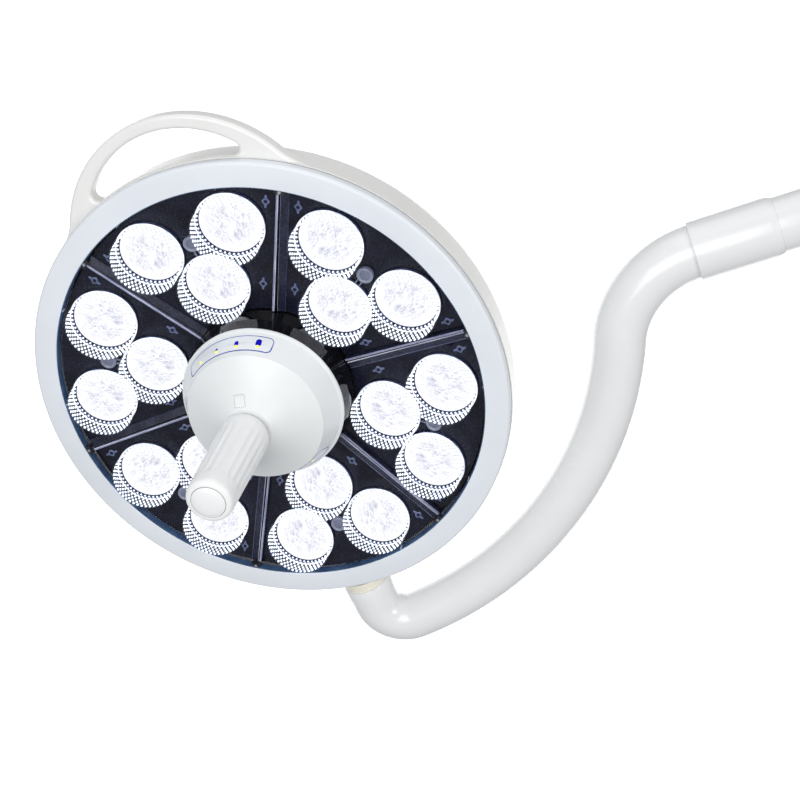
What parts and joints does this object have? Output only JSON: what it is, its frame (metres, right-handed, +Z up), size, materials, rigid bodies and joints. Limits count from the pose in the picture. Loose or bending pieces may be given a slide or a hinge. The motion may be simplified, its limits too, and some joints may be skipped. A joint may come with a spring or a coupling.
{
  "type": "surgical light",
  "caption": "Round surgical light with black lens sectors, central grip and loop handle, on a bent yoke that swivels at the arm end and tilts the head.",
  "frame": {"origin": "centre of the arm socket's mouth, at the open end of the arm stub", "axes": "+X runs out of the socket along the suspension arm and is the yoke's swivel axis; +Z is up, the yoke hangs in the XZ plane at rest; the light shines towards -Y, turned 5.8 degrees about Z"},
  "size_m": [0.7688, 0.2609, 0.5918],
  "materials": {
    "white_paint": "satin",
    "white_moulding": "satin",
    "neck_ring": "matte",
    "black_gloss": "gloss",
    "black_matte": "matte",
    "lens_clear": "polished",
    "seal_rubber": "matte",
    "keypad_film": "satin",
    "lamp_yellow": "gloss",
    "led_yellow": "gloss",
    "board_green": "matte",
    "bare_aluminium": "satin",
    "steel": "satin",
    "bronze": "satin",
    "connector_black": "matte",
    "cable_jacket": "matte"
  },
  "bodies": {
    "arm_end": {"arm_stub": "white_paint", "swivel_bushes": "bronze", "retaining_segment": "steel", "brake_screws": "steel", "power_socket": "connector_black"},
    "sleeve": {"swivel_sleeve": "white_paint"},
    "yoke": {"yoke_elbow": "white_paint", "yoke_bow": "white_paint", "yoke_neck": "white_paint", "yoke_spigot": "steel", "swivel_stop_pin": "steel", "power_plug": "connector_black", "yoke_cable": "cable_jacket", "pivot_collar": "neck_ring", "pivot_bush": "bronze"},
    "head": {"loop_handle": "white_paint", "lens_trios": "lens_clear", "rear_housing": "white_paint", "bezel": "white_paint", "bezel_seal": "seal_rubber", "chassis": "bare_aluminium", "heat_sinks": "bare_aluminium", "led_boards": "bare_aluminium", "led_emitters": "led_yellow", "sector_gaskets": "seal_rubber", "rim_clips": "black_matte", "rim_screws": "steel", "driver_board": "board_green", "housing_screws": "steel", "hub_collar": "black_gloss", "hub_cover": "white_moulding", "keypad_upper": "keypad_film", "keypad_lower": "keypad_film", "indicator_leds": "lamp_yellow", "control_board": "board_green", "handle_spindle": "steel", "pivot_plate": "steel", "pivot_shaft": "steel", "disc_springs": "steel", "pivot_nut": "steel", "sector_plate_1": "black_gloss", "lens_collars_1": "lens_clear", "sector_plate_2": "black_gloss", "lens_collars_2": "lens_clear", "sector_plate_3": "black_gloss", "lens_collars_3": "lens_clear", "sector_plate_4": "black_gloss", "lens_collars_4": "lens_clear", "sector_plate_5": "black_gloss", "lens_collars_5": "lens_clear", "sector_plate_6": "black_gloss", "lens_collars_6": "lens_clear"},
    "handle": {"handle_grip": "white_moulding", "handle_cap": "white_moulding"},
    "latch": {"latch_button": "white_moulding", "latch_spring": "steel"}
  },
  "joints": [
    {"name": "sleeve_slide", "type": "slide", "parent": "arm_end", "child": "sleeve", "axis": [1, 0, 0], "range_m": [0, 0.055]},
    {"name": "yoke_swivel", "type": "hinge", "parent": "arm_end", "child": "yoke", "pos_m": [0, 0, 0], "axis": [1, 0, 0], "range_deg": [-160, 160]},
    {"name": "head_tilt", "type": "hinge", "parent": "yoke", "child": "head", "pos_m": [-0.54, 0, 0], "axis": [0, 0, 1], "range_deg": [-150, 150]},
    {"name": "handle_slide", "type": "slide", "parent": "head", "child": "handle", "axis": [-0.1011, -0.9949, 0], "range_m": [0, 0.07]},
    {"name": "latch_press", "type": "slide", "parent": "head", "child": "latch", "axis": [0.1011, 0.9949, 0], "range_m": [0, 0.0018], "stiffness_N_per_m": 600}
  ]
}
